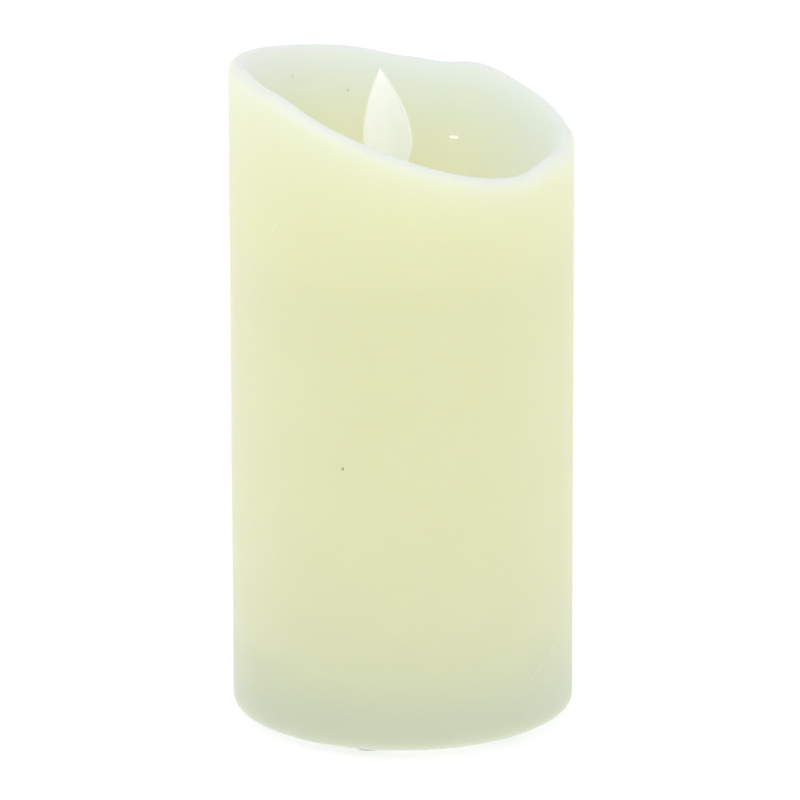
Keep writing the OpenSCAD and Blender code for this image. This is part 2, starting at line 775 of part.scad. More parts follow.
module led() {
    color("#E8EBEA") on_led_axis() translate([0, 0, -5.5]) union() {
        cylinder(r = led_rim_r, h = 1);
        cylinder(r = led_r, h = 6.1);
        translate([0, 0, 6.1]) sphere(r = led_r);
    }
}
module led_sleeve() {
    color("#202124") on_led_axis() difference() {
        translate([0, 0, -8]) cylinder(r = sleeve_r, h = 7);
        translate([0, 0, -9]) cylinder(r = led_rim_r + 0.1, h = 4.6);
        translate([0, 0, -6]) cylinder(r = led_r + 0.05, h = 8);
    }
}

module battery_lead_red() { color("#C22222") lead(red_battery_route, battery_lead_r, [0, 0.3, 1]); }
module battery_lead_black() { color("#1E1E20") lead(black_battery_route, battery_lead_r, [0, 0.3, 1]); }
module led_lead_red() { color("#C22222") lead(led_red_route); }
module led_lead_black() { color("#1E1E20") lead(led_black_route); }
module coil_lead_yellow() { color("#E4C62A") lead(coil_yellow_route); }
module coil_lead_white() { color("#E8E8E8") lead(coil_white_route); }

wax_shell();
inner_barrel();
base_housing();
battery_door();
foot_1();
foot_2();
foot_3();
foot_4();
base_screws();
switch_knob();
switch_body();
switch_pins();
control_pcb();
control_chip();
pcb_capacitor();
pcb_parts();
pcb_screws();
battery_cell_1();
battery_cell_2();
positive_plate();
negative_plate();
bridge_plate();
negative_spring();
bridge_spring();
flame();
flame_magnet();
pivot_wire();
module_case_front();
module_case_back();
case_screws();
module_screws();
coil_bobbin();
coil_winding();
led();
led_sleeve();
battery_lead_red();
battery_lead_black();
led_lead_red();
led_lead_black();
coil_lead_yellow();
coil_lead_white();
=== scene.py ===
"""A flameless LED candle: wax pillar, leaning flame and the works inside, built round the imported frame."""

import json
import math

import bmesh
import bpy
from mathutils import Matrix, Quaternion, Vector, noise


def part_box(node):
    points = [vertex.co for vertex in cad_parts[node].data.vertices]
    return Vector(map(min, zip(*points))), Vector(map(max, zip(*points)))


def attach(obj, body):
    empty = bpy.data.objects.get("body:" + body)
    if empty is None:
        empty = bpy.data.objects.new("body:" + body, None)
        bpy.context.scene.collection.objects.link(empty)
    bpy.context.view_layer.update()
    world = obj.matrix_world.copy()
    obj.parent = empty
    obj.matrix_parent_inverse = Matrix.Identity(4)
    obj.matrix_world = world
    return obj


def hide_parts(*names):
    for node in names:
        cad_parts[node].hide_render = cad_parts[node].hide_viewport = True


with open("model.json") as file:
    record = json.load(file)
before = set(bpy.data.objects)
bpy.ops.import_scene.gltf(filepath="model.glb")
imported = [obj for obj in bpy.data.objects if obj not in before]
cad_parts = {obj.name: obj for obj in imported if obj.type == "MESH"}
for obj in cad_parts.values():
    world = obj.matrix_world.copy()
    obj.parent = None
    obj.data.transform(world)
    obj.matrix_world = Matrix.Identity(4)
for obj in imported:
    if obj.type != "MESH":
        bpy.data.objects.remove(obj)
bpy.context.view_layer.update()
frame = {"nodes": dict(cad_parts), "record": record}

MM = 0.001
scene = bpy.context.scene
slot_of = {row["node"]: row["material_slot"] for row in frame["record"]["subparts"]}

# ---------------------------------------------------------------- camera

AZIMUTH = math.radians(-15)
ELEVATION = math.radians(17.65)
ROLL = math.radians(-0.133)
DISTANCE = 1.869
LENS_MM = 369.8
TARGET_Z = 0.0733
TARGET_SIDE = -0.0005
SENSOR_MM = 36
CLIP_NEAR, CLIP_FAR = 0.05, 400


def make_camera():
    back = Vector((
        math.sin(AZIMUTH) * math.cos(ELEVATION),
        -math.cos(AZIMUTH) * math.cos(ELEVATION),
        math.sin(ELEVATION),
    ))
    right = Vector((math.cos(AZIMUTH), math.sin(AZIMUTH), 0))
    data = bpy.data.cameras.new("camera")
    data.lens = LENS_MM
    data.sensor_width = SENSOR_MM
    data.clip_start = CLIP_NEAR
    data.clip_end = CLIP_FAR
    camera = bpy.data.objects.new("camera", data)
    scene.collection.objects.link(camera)
    camera.location = Vector((0, 0, TARGET_Z)) + right * TARGET_SIDE + back * DISTANCE
    camera.rotation_mode = "QUATERNION"
    turn = (-back).to_track_quat("-Z", "Y")
    camera.rotation_quaternion = turn @ Quaternion((0, 0, 1), ROLL)
    scene.camera = camera


make_camera()

# ---------------------------------------------------------------- node helpers

# Noise seldom leaves this range
NOISE_LOW, NOISE_HIGH = 0.3, 0.7


def new_material(name, color, roughness, **sockets):
    """A material with a Principled shader, and that shader."""
    material = bpy.data.materials.new(name)
    material.use_nodes = True
    shader = material.node_tree.nodes["Principled BSDF"]
    shader.inputs["Base Color"].default_value = (*color, 1)
    shader.inputs["Roughness"].default_value = roughness
    for socket, value in sockets.items():
        shader.inputs[socket.replace("_", " ")].default_value = value
    return material, shader


def add_node(material, kind, inputs=None, **settings):
    node = material.node_tree.nodes.new(kind)
    for key, value in settings.items():
        setattr(node, key, value)
    for key, value in (inputs or {}).items():
        if isinstance(value, bpy.types.NodeSocket):
            material.node_tree.links.new(value, node.inputs[key])
        else:
            node.inputs[key].default_value = value
    return node


def object_coords(material):
    return add_node(material, "ShaderNodeTexCoord").outputs["Object"]


def noise_value(material, scale, detail=3, stretch=(1, 1, 1)):
    """Noise over the object's own coordinates; scale is in waves per metre."""
    mapped = add_node(
        material, "ShaderNodeMapping", {"Vector": object_coords(material), "Scale": stretch}
    )
    waves = add_node(
        material, "ShaderNodeTexNoise", {"Vector": mapped.outputs[0], "Scale": scale, "Detail": detail}
    )
    return waves.outputs["Fac"]


def spread_to(material, value, low, high):
    """A noise value carried from the noise's range to low..high."""
    node = add_node(
        material,
        "ShaderNodeMapRange",
        {"Value": value, "From Min": NOISE_LOW, "From Max": NOISE_HIGH, "To Min": low, "To Max": high},
    )
    return node.outputs["Result"]


def mix_color(material, factor, a, b):
    """Colour a where the factor is 0 and b where it is 1."""
    node = add_node(material, "ShaderNodeMix", data_type="RGBA")
    for index, value in ((0, factor), (6, a), (7, b)):
        if isinstance(value, bpy.types.NodeSocket):
            material.node_tree.links.new(value, node.inputs[index])
        elif isinstance(value, tuple):
            node.inputs[index].default_value = (*value, 1)
        else:
            node.inputs[index].default_value = value
    return node.outputs[2]


def plug(material, value, shader, socket):
    material.node_tree.links.new(value, shader.inputs[socket])


def bump(material, shader, height, distance, strength, after=None):
    """Bump on the shader, on top of the bump in after, and the normal that comes out."""
    inputs = {"Height": height, "Distance": distance, "Strength": strength}
    if after is not None:
        inputs["Normal"] = after
    node = add_node(material, "ShaderNodeBump", inputs)
    plug(material, node.outputs[0], shader, "Normal")
    return node.outputs[0]


def attribute(material, name):
    return add_node(material, "ShaderNodeAttribute", attribute_name=name).outputs["Fac"]


# ---------------------------------------------------------------- materials


def wax_material():
    """Wax, coloured by its bowl, thin and foot shares: the pool, painted lighter than the outside wax as
    painted light that makes up for the shade of its own walls; the thin rim, paler with painted light that
    shines through it; and painted shade at the foot, darker towards the bottom.
    """
    material, shader = new_material(
        "wax",
        (0.74, 0.76, 0.45),
        0.42,
        Subsurface_Weight=0.8,
        Subsurface_Scale=0.012,
        Specular_IOR_Level=0.12,
        Sheen_Weight=0.14,
        Sheen_Roughness=0.5,
    )
    shader.inputs["Subsurface Radius"].default_value = (1, 0.9, 0.6)
    cloud = noise_value(material, 45, 4)
    cloud = spread_to(material, cloud, 0, 1)
    body = mix_color(material, cloud, (0.748, 0.762, 0.462), (0.762, 0.776, 0.478))
    # Painted light: the bowl is painted lighter than the outside wax, to make up for the shade of its own
    # walls
    body = mix_color(material, attribute(material, "bowl"), body, (0.91, 0.885, 0.54))
    # Painted light: paler and bluer where the wax is thin, as light shines through it
    body = mix_color(material, attribute(material, "thin_glow"), body, (0.75, 0.815, 0.755))
    # Painted shade: the wax darkens towards the bottom, where the floor shades it
    body = mix_color(material, attribute(material, "foot"), body, (0.53, 0.585, 0.475))
    plug(material, body, shader, "Base Color")
    rough = spread_to(material, noise_value(material, 160, 3), 0.36, 0.5)
    plug(material, rough, shader, "Roughness")
    soft = bump(material, shader, noise_value(material, 220, 4), 0.00008, 0.5)
    bump(material, shader, noise_value(material, 1500, 2), 0.00002, 0.35, soft)
    return material


def flame_material():
    """Clear milky plastic with a weak painted glow, painted shade on the side of its ridge turned from the
    light, and a little darker along its edges.
    """
    material, shader = new_material(
        "flame_plastic",
        (0.95, 0.965, 0.89),
        0.28,
        Subsurface_Weight=0.15,
        Subsurface_Scale=0.0008,
        Specular_IOR_Level=0.5,
        Coat_Weight=0.2,
        Coat_Roughness=0.15,
    )
    shader.inputs["Subsurface Radius"].default_value = (1, 1, 0.8)
    # Painted light: the plastic glows a little, as if lit from all round
    shader.inputs["Emission Color"].default_value = (1, 1, 0.9, 1)
    shader.inputs["Emission Strength"].default_value = 0.12
    cloud = noise_value(material, 260, 3, (1, 1, 0.4))
    cloud = spread_to(material, cloud, 0, 1)
    tone = mix_color(material, cloud, (0.92, 0.94, 0.86), (0.96, 0.975, 0.91))
    # Painted shade on one side of the ridge
    tone = mix_color(material, attribute(material, "lee_shade"), tone, (0.84, 0.865, 0.775))
    tone = mix_color(material, attribute(material, "edge"), tone, (0.9, 0.92, 0.84))
    plug(material, tone, shader, "Base Color")
    bump(material, shader, noise_value(material, 900, 2), 0.00002, 0.4)
    return material


def plastic(name, color, roughness, grain=2600, depth=0.00003):
    material, shader = new_material(name, color, roughness)
    shade = tuple(c * 0.9 for c in color)
    cloud = spread_to(material, noise_value(material, 120, 4), 0, 1)
    plug(material, mix_color(material, cloud, shade, color), shader, "Base Color")
    rough = spread_to(material, noise_value(material, 400, 3), roughness - 0.06, roughness + 0.08)
    plug(material, rough, shader, "Roughness")
    bump(material, shader, noise_value(material, grain, 2), depth, 0.6)
    return material


def metal(name, color, roughness, stretch=(1, 1, 12)):
    material, shader = new_material(name, color, roughness, Metallic=1.0)
    lines = noise_value(material, 900, 3, stretch)
    dull = tuple(c * 0.82 for c in color)
    plug(material, mix_color(material, spread_to(material, lines, 0, 1), dull, color), shader, "Base Color")
    plug(material, spread_to(material, lines, roughness - 0.08, roughness + 0.12), shader, "Roughness")
    bump(material, shader, lines, 0.00001, 0.5)
    return material


def glint_material():
    """A painted highlight: a bead that glows a little, standing for a glint of light on the wax."""
    material, shader = new_material("painted_glint_mark", (0.97, 0.97, 0.94), 0.15, Coat_Weight=0.5)
    shader.inputs["Emission Color"].default_value = (1, 1, 0.97, 1)
    shader.inputs["Emission Strength"].default_value = 0.25
    plug(material, spread_to(material, noise_value(material, 900, 2), 0.1, 0.25), shader, "Roughness")
    return material


def clear_material(name, color, roughness, transmission):
    material, shader = new_material(
        name, color, roughness, Transmission_Weight=transmission, IOR=1.45, Subsurface_Weight=0.1
    )
    haze = noise_value(material, 700, 3)
    plug(material, spread_to(material, haze, roughness, roughness + 0.12), shader, "Roughness")
    tint = tuple(c * 0.93 for c in color)
    plug(material, mix_color(material, spread_to(material, haze, 0, 1), tint, color), shader, "Base Color")
    bump(material, shader, haze, 0.00002, 0.4)
    return material


MATERIALS = {
    "wax": wax_material(),
    "flame_plastic": flame_material(),
    "core_plastic": plastic("core_plastic", (0.83, 0.83, 0.75), 0.45),
    "base_plastic": plastic("base_plastic", (0.84, 0.84, 0.79), 0.5),
    "door_plastic": plastic("door_plastic", (0.82, 0.82, 0.77), 0.48),
    "silicone": clear_material("silicone", (0.88, 0.91, 0.89), 0.25, 0.45),
    "steel_screw": metal("steel_screw", (0.60, 0.61, 0.62), 0.32),
    "knob_plastic": plastic("knob_plastic", (0.02, 0.02, 0.023), 0.35),
    "switch_metal": metal("switch_metal", (0.62, 0.63, 0.64), 0.3),
    "pin_brass": metal("pin_brass", (0.75, 0.57, 0.25), 0.3),
    "board_green": plastic("board_green", (0.02, 0.14, 0.05), 0.3, 900),
    "chip_black": plastic("chip_black", (0.015, 0.015, 0.017), 0.5),
    "capacitor_sleeve": plastic("capacitor_sleeve", (0.02, 0.05, 0.16), 0.28, 700),
    "small_parts": plastic("small_parts", (0.03, 0.03, 0.035), 0.4),
    "cell_wrap": plastic("cell_wrap", (0.05, 0.08, 0.12), 0.25, 700),
    "contact_plate": metal("contact_plate", (0.70, 0.70, 0.69), 0.26),
    "spring_steel": metal("spring_steel", (0.64, 0.65, 0.66), 0.25),
    "magnet_nickel": metal("magnet_nickel", (0.63, 0.64, 0.66), 0.15),
    "wire_steel": metal("wire_steel", (0.66, 0.67, 0.68), 0.2),
    "case_plastic": plastic("case_plastic", (0.025, 0.025, 0.028), 0.42),
    "bobbin_plastic": plastic("bobbin_plastic", (0.76, 0.73, 0.64), 0.42),
    "copper_wire": metal("copper_wire", (0.55, 0.22, 0.07), 0.28, (1, 1, 30)),
    "led_epoxy": clear_material("led_epoxy", (0.93, 0.95, 0.94), 0.05, 0.9),
    "sleeve_black": plastic("sleeve_black", (0.02, 0.02, 0.022), 0.6),
    "lead_red": plastic("lead_red", (0.50, 0.02, 0.015), 0.4, 800),
    "lead_black": plastic("lead_black", (0.012, 0.012, 0.014), 0.4, 800),
    "lead_yellow": plastic("lead_yellow", (0.72, 0.48, 0.03), 0.4, 800),
    "lead_white": plastic("lead_white", (0.75, 0.75, 0.72), 0.4, 800),
    "wax_dark_mark": plastic("wax_dark_mark", (0.42, 0.41, 0.27), 0.5),
    "wax_pale_mark": plastic("wax_pale_mark", (0.93, 0.94, 0.86), 0.3),
    "wax_bubble_mark": plastic("wax_bubble_mark", (0.76, 0.80, 0.69), 0.3),
    "painted_glint_mark": glint_material(),
}

for node_name, node_object in frame["nodes"].items():
    node_object.data.materials.clear()
    node_object.data.materials.append(MATERIALS[slot_of[node_name]])

# ---------------------------------------------------------------- mesh helpers


def add_piece(name, vertices, faces, slot, body, replaced=(), floats=None, material=None):
    """A new closed mesh piece that rides on a body, and stands for CAD nodes if any are named."""
    mesh = bpy.data.meshes.new(name)
    mesh.from_pydata(vertices, [], faces)
    mesh.update()
    outward = bmesh.new()
    outward.from_mesh(mesh)
    bmesh.ops.recalc_face_normals(outward, faces=outward.faces)
    outward.to_mesh(mesh)
    outward.free()
    for key, values in (floats or {}).items():
        mesh.attributes.new(key, "FLOAT", "POINT").data.foreach_set("value", values)
    mesh.shade_smooth()
    mesh.set_sharp_from_angle(angle=math.radians(40))
    mesh.materials.append(MATERIALS[material or slot])
    piece = bpy.data.objects.new(name, mesh)
    scene.collection.objects.link(piece)
    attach(piece, body)
    if replaced:
        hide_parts(*replaced)


def loop_faces(rings, sides, closed_rings=True):
    """Quads between rings of the same number of points; the last ring joins the first if closed_rings."""
    faces = []
    for ring in range(rings if closed_rings else rings - 1):
        after = (ring + 1) % rings
        for side in range(sides):
            beside = (side + 1) % sides
            faces.append((
                ring * sides + side,
                after * sides + side,
                after * sides + beside,
                ring * sides + beside,
            ))
    return faces


def capped_faces(rings, sides):
    """Quads between a row of rings, and a flat face on the first ring and on the last."""
    faces = loop_faces(rings, sides, False)
    faces.append(tuple(range(sides)))
    faces.append(tuple(range((rings - 1) * sides, rings * sides)))
    return faces


def lathe(profile, place, sides, ring=False):
    """A profile of (radius, height) in mm turned about its height axis, then put in its place.
    A ring's profile is a closed loop; any other runs from the axis to the axis."""
    rounds = profile if ring else profile[1:-1]
    vertices = []
    for radius, height in rounds:
        for k in range(sides):
            turn = 2 * math.pi * k / sides
            point = Vector((radius * math.cos(turn), radius * math.sin(turn), height))
            vertices.append(place @ (point * MM))
    faces = loop_faces(len(rounds), sides, ring)
    if not ring:
        low, high = len(vertices), len(vertices) + 1
        vertices.append(place @ Vector((0, 0, profile[0][1] * MM)))
        vertices.append(place @ Vector((0, 0, profile[-1][1] * MM)))
        last = (len(rounds) - 1) * sides
        for k in range(sides):
            beside = (k + 1) % sides
            faces.append((low, k, beside))
            faces.append((high, last + beside, last + k))
    return vertices, faces


# ---------------------------------------------------------------- wax

WAX_LOW, WAX_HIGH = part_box("wax_shell")
WAX_R = WAX_HIGH.x / MM
WAX_BOTTOM = WAX_LOW.z / MM
RIM_ROUND = 2.6
LIP_SOFT = 3.0
EDGE_ROUND = 1.0
RIM_MID = 143.7
RIM_TILT, RIM_TILT_DIR = 9.5, 149
RIM_SADDLE, RIM_SADDLE_DIR = 2.1, 23
# Lumps in the rim: direction, height and half width in degrees
RIM_LUMPS = [
    (-40, 2, 14), (-16, 1.5, 10), (44, 1, 12), (60, -1, 9), (76, -1.2, 12), (182, 0.7, 12), (208, 1, 12),
]
POOL_Z = 116.0
POOL_HOLE_R = 11.3
BOWL_RUN = WAX_R - RIM_ROUND - POOL_HOLE_R
BOWL_POWER = 2.4
CAVITY_R = WAX_R - 5.5
CAVITY_TOP = 109.8
AROUND = 360
BOWL_STEPS = 44
RIM_STEPS = 10
WALL_STEPS = 90
EDGE_STEPS = 8
# The cast surface sinks by up to about this much, in long and short waves per mm
WAVE_DEPTH = 0.14
LONG_WAVE, SHORT_WAVE = 0.06, 0.3
# Where the wax is thin it is painted paler, painted light that shines through it: down the outside as a part
# of the bowl's depth, and down the bowl in mm
OUTER_THIN, OUTER_THIN_REACH = 0.55, 0.42
INNER_THIN_REACH = 20
# How far up the painted shade at the foot reaches, in mm
FOOT_SHADE_REACH = 19
# Marks are set about this deep into the wax, in mm
MARK_SINK = 0.1


def rim_z(direction):
    """Height of the rim's crest, in mm, in a direction in degrees."""
    height = RIM_MID + RIM_TILT * math.cos(math.radians(direction - RIM_TILT_DIR))
    height += RIM_SADDLE * math.cos(math.radians(2 * (direction - RIM_SADDLE_DIR)))
    for middle, rise, width in RIM_LUMPS:
        off = (direction - middle + 540) % 360 - 180
        height += rise * math.exp(-((off / width) ** 2))
    return height


def bowl_fall(crest, inward):
    """How far the pool's bowl lies below the crest, in mm, at a distance inward of it."""
    fall = (crest - POOL_Z) * (1 - (1 - inward / BOWL_RUN) ** BOWL_POWER)
    return fall * inward * (BOWL_RUN + LIP_SOFT) / (inward + LIP_SOFT) / BOWL_RUN


def wax_section(crest):
    """The wax's section in mm, from the pool over the rim and back inside: radius, height, inside share."""
    points = []
    for i in range(BOWL_STEPS + 1):
        inward = BOWL_RUN * (1 - i / BOWL_STEPS) ** 2
        points.append((WAX_R - RIM_ROUND - inward, crest - bowl_fall(crest, inward), 1))
    for i in range(1, RIM_STEPS + 1):
        turn = math.pi / 2 * i / RIM_STEPS
        radius = WAX_R - RIM_ROUND + RIM_ROUND * math.sin(turn)
        points.append((radius, crest - RIM_ROUND + RIM_ROUND * math.cos(turn), 1 - i / RIM_STEPS))
    top, low = crest - RIM_ROUND, WAX_BOTTOM + EDGE_ROUND
    points += [(WAX_R, top + (low - top) * i / WALL_STEPS, 0) for i in range(1, WALL_STEPS)]
    for i in range(EDGE_STEPS + 1):
        turn = math.pi / 2 * i / EDGE_STEPS
        radius = WAX_R - EDGE_ROUND + EDGE_ROUND * math.cos(turn)
        points.append((radius, low - EDGE_ROUND * math.sin(turn), 0))
    points += [(CAVITY_R, WAX_BOTTOM, 0), (CAVITY_R, CAVITY_TOP, 0), (POOL_HOLE_R, CAVITY_TOP, 0)]
    return points


def wax_wave(place):
    """How far the cast surface sinks below its true radius, in mm."""
    long_part = 0.5 * noise.noise(place * LONG_WAVE)
    short_part = 0.15 * noise.noise(place * SHORT_WAVE)
    return WAVE_DEPTH * max(0, 0.5 + long_part + short_part)


def make_wax():
    vertices, thin_glow, foot, bowl = [], [], [], []
    for j in range(AROUND):
        direction = 360 * j / AROUND
        across = Vector((math.cos(math.radians(direction)), math.sin(math.radians(direction)), 0))
        crest = rim_z(direction)
        for radius, height, inside in wax_section(crest):
            if radius > CAVITY_R + 0.5 and inside < 1:
                radius -= wax_wave(across * radius + Vector((0, 0, height)))
            vertices.append((across * radius + Vector((0, 0, height))) * MM)
            below = max(0, crest - height)
            part = below / (crest - POOL_Z)
            # Painted light through the thin wax, fading down the outside and down the bowl
            outer_share = OUTER_THIN * math.exp(-((part / OUTER_THIN_REACH) ** 1.2))
            inner_share = math.exp(-((below / INNER_THIN_REACH) ** 1.8))
            thin_glow.append(inside * inner_share + (1 - inside) * outer_share)
            # Painted shade, strongest at the bottom
            foot.append(math.exp(-((max(0, height - WAX_BOTTOM) / FOOT_SHADE_REACH) ** 1.1)))
            bowl.append(inside)
    faces = loop_faces(AROUND, len(vertices) // AROUND)
    shares = {"thin_glow": thin_glow, "foot": foot, "bowl": bowl}
    add_piece("wax", vertices, faces, "wax", "root", ["wax_shell"], shares)


def on_side(direction, height, radius):
    """A place on the candle's round side, its Z axis pointing out."""
    turn = math.radians(direction)
    out = Vector((math.cos(turn), math.sin(turn), 0))
    upright = out.to_track_quat("Z", "Y").to_matrix().to_4x4()
    return Matrix.Translation((out * radius + Vector((0, 0, height))) * MM) @ upright


def bowl_radius(direction, height):
    """Radius at which the pool's bowl reaches a height."""
    crest = rim_z(direction)
    low, high = 0.0, BOWL_RUN
    for _ in range(30):
        middle = (low + high) / 2
        if crest - bowl_fall(crest, middle) > height:
            low = middle
        else:
            high = middle
    return WAX_R - RIM_ROUND - low


def add_lenses(name, material, lenses):
    """Small domed marks on the wax, each a place, a half width, a half height and a rise in mm."""
    vertices, faces = [], []
    for place, half_wide, half_high, rise in lenses:
        shape = place @ Matrix.Diagonal((half_wide, half_high, 1, 1))
        dome = [(0, rise)] + [(math.sin(t), rise * math.cos(t)) for t in (0.35, 0.7, 1.05, 1.4)]
        dome += [(1, -0.25), (0, -0.25)]
        points, sides = lathe(dome, shape, 20)
        faces += [tuple(k + len(vertices) for k in side) for side in sides]
        vertices += points
    add_piece(name, vertices, faces, "wax", "root", material=material)


def in_bowl(direction, height):
    """A place just under the surface of the pool's bowl, its Z axis pointing out."""
    return on_side(direction, height, bowl_radius(direction, height) + MARK_SINK)


def make_marks():
    side_r = WAX_R - MARK_SINK
    add_lenses("wax_speck", "wax_dark_mark", [(on_side(-125, 68.8, side_r), 0.32, 0.38, 0.06)])
    add_lenses("wax_pale_dot", "wax_pale_mark", [(on_side(-49.5, 131.6, side_r), 0.32, 0.32, 0.1)])
    bubbles = [in_bowl(124, 143.7), in_bowl(98, 138.4)]
    add_lenses("wax_bubbles", "wax_bubble_mark", [(place, 0.28, 0.35, 0.08) for place in bubbles])
    # Painted highlight: a small glowing bead for the glint in the pool
    add_lenses("painted_glint_bead", "painted_glint_mark", [(in_bowl(49, 128.4), 1.2, 0.45, 0.3)])
    # Fine scratches: direction, height, slope in degrees and half length
    scratches = [(-53.5, 16.3, 33, 2.6), (-46, 19.3, 33, 2.6), (-152, 121.9, 60, 2.0), (-149, 119.0, 20, 1.6)]
    strokes = []
    for direction, height, slope, half_long in scratches:
        turned = on_side(direction, height, side_r) @ Matrix.Rotation(math.radians(slope), 4, "Z")
        strokes.append((turned, half_long, 0.07, 0.05))
    add_lenses("wax_scratches", "wax_pale_mark", strokes)


make_wax()
make_marks()

# ---------------------------------------------------------------- flame

PIVOT = Vector((0, 0, 0.104))
LEAN = math.radians(6)
FLAME_TIP = 48.1
FLAME_WIDE_AT = 30.9
FLAME_HALF_W = 5.7
FLAME_DROP = 7.6
NECK_HALF_W = 2.0
BLADE_EDGE_T = 0.26
BLADE_RIDGE_T = 0.6
BEAD_T, BEAD_AT, BEAD_WIDE = 0.14, 0.93, 0.05
EDGE_SHARE_W = 0.35
BLADE_RINGS, BLADE_SIDES = 110, 56
HUB_R = 2.2
HUB_HALF = 2.0
WIRE_BORE_R = 0.56
STEM_HALF = 1.8
STEM_HALF_T = 0.9
STEM_SQUARE = 0.4
STEM_RINGS, STEM_SIDES = 20, 24
MAGNET_R = 3.5
MAGNET_SET = -1.1
MAGNET_TOP = -18.5
MAGNET_H = 4.0
CUP_WALL = 0.8
CORNER = 0.3


def flame_half(rise):
    """Half width of the flame, in mm, at a distance above the pivot."""
    if rise > FLAME_WIDE_AT:
        part = min(1, (rise - FLAME_WIDE_AT) / (FLAME_TIP - FLAME_WIDE_AT))
        return max(0.02, FLAME_HALF_W * (1 - part**1.8))
    part = (FLAME_WIDE_AT - rise) / FLAME_DROP
    blade = FLAME_HALF_W * math.sqrt(1 - part * part) if part < 1 else 0
    return (blade**4 + NECK_HALF_W**4) ** 0.25


# From the paddle's upright frame in metres, pivot at its origin, to its leaning place
FROM_PIVOT = Matrix.Translation(PIVOT) @ Matrix.Rotation(-LEAN, 4, "Y")


def add_paddle_piece(name, vertices, faces, floats=None):
    add_piece(name, vertices, faces, "flame_plastic", "flame_paddle", ["flame"], floats)


def blade_thickness(across, half, rise):
    """Half thickness of the flame, in mm: a middle ridge, a dished face and a fine bead along the edge."""
    if rise < FLAME_WIDE_AT and half < NECK_HALF_W + 0.2:
        return STEM_HALF_T
    ridge = BLADE_EDGE_T + BLADE_RIDGE_T * (1 - across) ** 1.15
    return ridge + BEAD_T * math.exp(-(((across - BEAD_AT) / BEAD_WIDE) ** 2))


def make_blade():
    vertices, edge, lee_shade = [], [], []
    start = HUB_R - 0.4
    for i in range(BLADE_RINGS):
        part = i / (BLADE_RINGS - 1)
        rise = start + (FLAME_TIP - start) * (1 - (1 - part) ** 1.35)
        half = flame_half(rise)
        taper = min(1, half / 1.2)
        for k in range(BLADE_SIDES):
            turn = 2 * math.pi * (k + 0.5) / BLADE_SIDES
            across, side = math.cos(turn), math.sin(turn)
            thick = blade_thickness(abs(across), half, rise) * taper * min(1, abs(side) / 0.3) ** 0.5
            point = Vector((half * across, math.copysign(thick, side), rise))
            vertices.append(FROM_PIVOT @ (point * MM))
            edge.append(math.exp(-(((1 - abs(across)) * half / EDGE_SHARE_W) ** 2)))
            # Painted shade on the side of the ridge turned from the light, less at the tip
            lee_shade.append(min(1, max(0, across * 2 + 0.3)) * (0.8 if rise < FLAME_TIP - 3 else 0.4))
    faces = capped_faces(BLADE_RINGS, BLADE_SIDES)
    add_paddle_piece("flame_blade", vertices, faces, {"edge": edge, "lee_shade": lee_shade})


def make_hub():
    """The eye that turns on the pivot wire, along Y."""
    profile = [
        (WIRE_BORE_R, -HUB_HALF), (HUB_R - CORNER, -HUB_HALF), (HUB_R, -HUB_HALF + CORNER),
        (HUB_R, HUB_HALF - CORNER), (HUB_R - CORNER, HUB_HALF), (WIRE_BORE_R, HUB_HALF),
    ]
    lying = FROM_PIVOT @ Matrix.Rotation(math.pi / 2, 4, "X")
    vertices, faces = lathe(profile, lying, 40, True)
    add_paddle_piece("flame_hub", vertices, faces)


def make_stem():
    """The stem from the hub down into the cup, a rectangle with round corners in section."""
    vertices = []
    top, low = -HUB_R + 0.6, MAGNET_TOP + 0.4
    for i in range(STEM_RINGS):
        rise = top + (low - top) * i / (STEM_RINGS - 1)
        for k in range(STEM_SIDES):
            turn = 2 * math.pi * (k + 0.5) / STEM_SIDES
            x = STEM_HALF * math.copysign(abs(math.cos(turn)) ** STEM_SQUARE, math.cos(turn))
            y = STEM_HALF_T * math.copysign(abs(math.sin(turn)) ** STEM_SQUARE, math.sin(turn))
            vertices.append(FROM_PIVOT @ (Vector((x, y, rise)) * MM))
    add_paddle_piece("flame_stem", vertices, capped_faces(STEM_RINGS, STEM_SIDES))


def make_cup():
    """The cup that holds the magnet, open below, with a hair of room round the magnet."""
    cup_r, cup_top, cup_low = MAGNET_R + CUP_WALL, MAGNET_TOP + CUP_WALL, MAGNET_TOP - MAGNET_H
    profile = [
        (0, cup_top), (cup_r - CORNER, cup_top), (cup_r, cup_top - CORNER), (cup_r, cup_low),
        (MAGNET_R + 0.03, cup_low), (MAGNET_R + 0.03, MAGNET_TOP + 0.01), (0, MAGNET_TOP + 0.01),
    ]
    vertices, faces = lathe(profile, FROM_PIVOT @ Matrix.Translation((MAGNET_SET * MM, 0, 0)), 48)
    add_paddle_piece("flame_cup", vertices, faces)


make_blade()
make_hub()
make_stem()
make_cup()

# ---------------------------------------------------------------- cells and coil

CELL_TIP_X = 26.7
CELL_SIDE = 7.4
CELL_Z = 12.6
CELL_R = 7.25
CELL_LEN = 50.5
CELL_LOOPS = 31
COIL_DEPTH = 2.4
COIL_TURNS = 26
TURN_STEPS = 6
TURN_SWELL = 0.16


